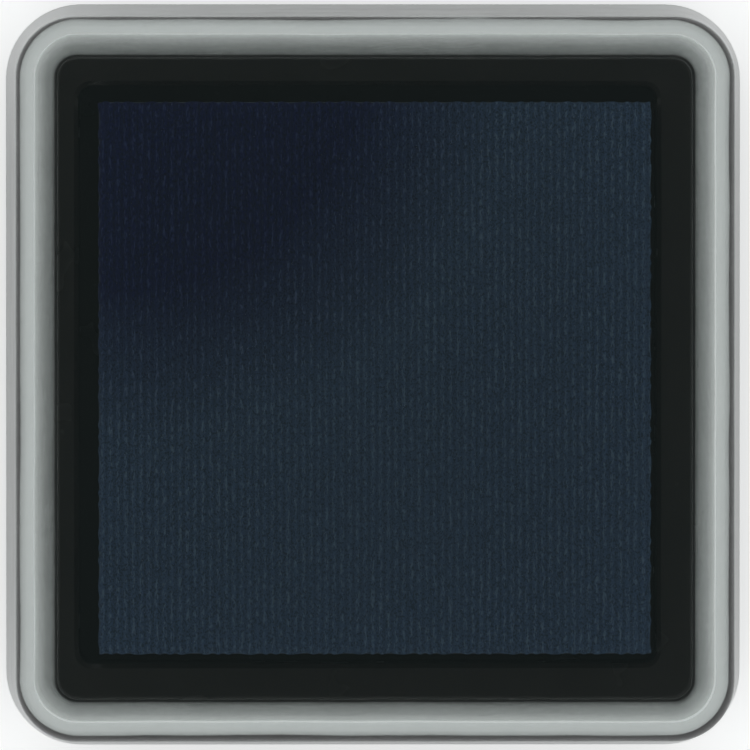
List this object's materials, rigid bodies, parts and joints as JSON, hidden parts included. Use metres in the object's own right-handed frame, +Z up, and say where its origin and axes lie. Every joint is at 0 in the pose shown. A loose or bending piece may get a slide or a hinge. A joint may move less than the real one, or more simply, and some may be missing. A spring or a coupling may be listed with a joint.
{
  "type": "ink pad",
  "caption": "Small square ink pad: a clear lift-off lid over a black moulded base that holds a raised, fabric-topped foam pad soaked in navy ink.",
  "frame": {"origin": "middle of the foot's flat face, where the pad stands", "axes": "+Z up through the middle of the lid; X and Y square to the sides, Y along the slightly longer ones"},
  "size_m": [0.0336, 0.0338, 0.019],
  "materials": {
    "clear_plastic": "clear, polished moulding",
    "black_plastic": "satin to gloss black moulding",
    "label_paper": "coated label with a plain navy square",
    "tape": "double-sided film tape",
    "ink_foam": "open-cell foam, wet with ink",
    "ink_fabric": "fine rib-knit polyester, wet with ink"
  },
  "bodies": {
    "base": {"base_shell": "black_plastic", "bottom_plate": "black_plastic", "base_label": "label_paper", "pad_tape": "tape", "foam_core": "ink_foam"},
    "pad_face": {"pad_fabric": "ink_fabric"},
    "lid": {"lid": "clear_plastic"}
  },
  "joints": [
    {"name": "lid_lift", "type": "slide", "parent": "base", "child": "lid", "axis": [0, 0, 1], "range_m": [0, 0.02]},
    {"name": "pad_press", "type": "slide", "parent": "base", "child": "pad_face", "axis": [0, 0, -1], "range_m": [0, 0.001], "stiffness_N_per_m": 4000, "deforming": ["foam_core"]}
  ]
}
